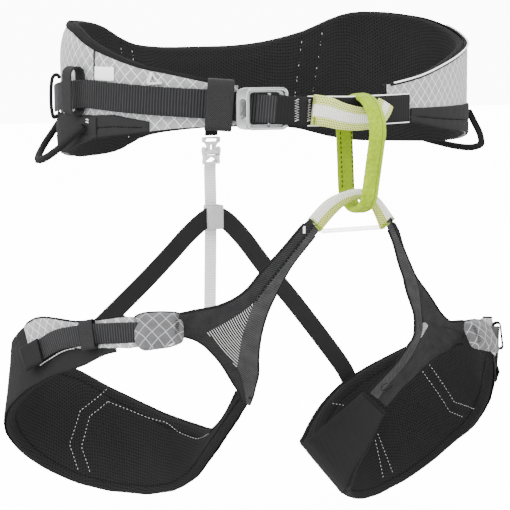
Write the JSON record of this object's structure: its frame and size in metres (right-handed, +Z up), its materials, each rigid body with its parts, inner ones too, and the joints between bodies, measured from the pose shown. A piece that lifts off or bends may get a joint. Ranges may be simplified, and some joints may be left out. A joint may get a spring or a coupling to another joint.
{
  "type": "climbing harness",
  "caption": "Adjustable sit harness: padded waist belt with slide buckle, tie-in points, belay loop, two padded leg loops and a drop seat with elastic risers.",
  "frame": {"origin": "centre of the waist opening, level with the belt webbing", "axes": "+Z up along the wearer's body, -Y to the wearer's front, +X to the wearer's left"},
  "size_m": [0.4101, 0.2632, 0.4036],
  "materials": {
    "spacer_mesh": "matt 3D spacer mesh",
    "dark_fabric": "matt woven nylon",
    "ripstop": "light grid ripstop, slight sheen",
    "dark_webbing": "ribbed polyamide webbing",
    "white_fabric": "matt",
    "lime_webbing": "tubular webbing with nap",
    "tie_in_webbing": "woven, green edges and white middle",
    "light_elastic": "ribbed elastic",
    "dark_elastic": "ribbed elastic",
    "buckle_metal": "polished, light brushing",
    "grey_plastic": "moulded, satin",
    "black_plastic": "moulded, fabric covered",
    "clear_strap": "translucent elastic"
  },
  "bodies": {
    "waist": {"waist_pad_liner": "spacer_mesh", "waist_shell": "ripstop", "waist_lower_panel": "dark_fabric", "waist_edge_piping": "white_fabric", "front_webbing": "dark_webbing", "elastic_keeper": "dark_elastic", "rear_keeper": "dark_webbing", "side_loop": "dark_webbing", "size_label": "white_fabric", "folded_ribbon": "white_fabric", "left_hip_patch": "dark_fabric", "right_hip_patch": "dark_fabric", "waist_buckle_frame": "buckle_metal", "tie_in_sleeve": "tie_in_webbing", "bridge_sleeve": "tie_in_webbing", "bridge_band": "clear_strap", "drop_tab": "dark_webbing", "drop_buckle_female": "grey_plastic", "riser_keeper": "light_elastic", "left_riser": "dark_elastic", "right_riser": "dark_elastic"},
    "left_leg": {"left_leg_pad": "spacer_mesh", "left_leg_shell": "dark_fabric", "left_leg_panel": "ripstop", "left_leg_webbing": "dark_webbing", "left_leg_end_loop": "dark_webbing", "left_leg_buckle_frame": "buckle_metal", "left_leg_buckle_cover": "ripstop", "left_leg_gusset": "dark_fabric", "left_leg_mesh": "white_fabric"},
    "right_leg": {"right_leg_pad": "spacer_mesh", "right_leg_shell": "dark_fabric", "right_leg_panel": "ripstop", "right_leg_webbing": "dark_webbing", "right_leg_end_loop": "dark_webbing", "right_leg_buckle_frame": "buckle_metal", "right_leg_buckle_cover": "ripstop", "right_leg_gusset": "dark_fabric", "right_leg_mesh": "white_fabric"},
    "left_gear": {"left_gear_loop": "black_plastic"},
    "right_gear": {"right_gear_loop": "black_plastic"},
    "belay": {"belay_loop": "lime_webbing"},
    "waist_slider": {"waist_buckle_slider": "buckle_metal"},
    "left_leg_slider": {"left_leg_buckle_slider": "buckle_metal"},
    "right_leg_slider": {"right_leg_buckle_slider": "buckle_metal"},
    "drop_release": {"drop_buckle_male": "grey_plastic", "drop_strap": "light_elastic"},
    "left_leg_keeper_body": {"left_leg_keeper": "dark_elastic"},
    "right_leg_keeper_body": {"right_leg_keeper": "dark_elastic"}
  },
  "joints": [
    {"name": "left_leg_swing", "type": "hinge", "parent": "waist", "child": "left_leg", "pos_m": [-0.025, -0.112, -0.0815], "axis": [1, 0, 0], "range_deg": [0, 20], "deforming": ["left_riser"]},
    {"name": "right_leg_swing", "type": "hinge", "parent": "waist", "child": "right_leg", "pos_m": [0.0375, -0.112, -0.0845], "axis": [1, 0, 0], "range_deg": [0, 20], "deforming": ["right_riser"]},
    {"name": "left_gear_swing", "type": "hinge", "parent": "waist", "child": "left_gear", "pos_m": [-0.16077, -0.02699, -0.012], "axis": [0.2469, 0.969, 0], "range_deg": [0, 70], "stiffness_Nm_per_rad": 0.02},
    {"name": "right_gear_swing", "type": "hinge", "parent": "waist", "child": "right_gear", "pos_m": [0.16077, -0.02699, -0.012], "axis": [0.2469, -0.969, 0], "range_deg": [0, 70], "stiffness_Nm_per_rad": 0.02},
    {"name": "belay_loop_shift", "type": "slide", "parent": "waist", "child": "belay", "axis": [1, 0, 0], "range_m": [-0.0012, 0.0012]},
    {"name": "waist_slider_shift", "type": "slide", "parent": "waist", "child": "waist_slider", "axis": [0.9549, -0.297, 0], "range_m": [-0.001, 0.002]},
    {"name": "left_leg_slider_shift", "type": "slide", "parent": "left_leg", "child": "left_leg_slider", "axis": [0.8911, -0.4531, -0.0237], "range_m": [-0.002, 0.003]},
    {"name": "right_leg_slider_shift", "type": "slide", "parent": "right_leg", "child": "right_leg_slider", "axis": [0.8834, 0.4492, -0.1337], "range_m": [-0.002, 0.003]},
    {"name": "drop_buckle_release", "type": "slide", "parent": "waist", "child": "drop_release", "axis": [0, 0, -1], "range_m": [0, 0.014]},
    {"name": "left_leg_keeper_shift", "type": "slide", "parent": "left_leg", "child": "left_leg_keeper_body", "axis": [0.606, -0.7565, 0.2459], "range_m": [-0.002, 0.002]},
    {"name": "right_leg_keeper_shift", "type": "slide", "parent": "right_leg", "child": "right_leg_keeper_body", "axis": [0.5972, 0.7455, -0.2959], "range_m": [-0.002, 0.002]}
  ]
}
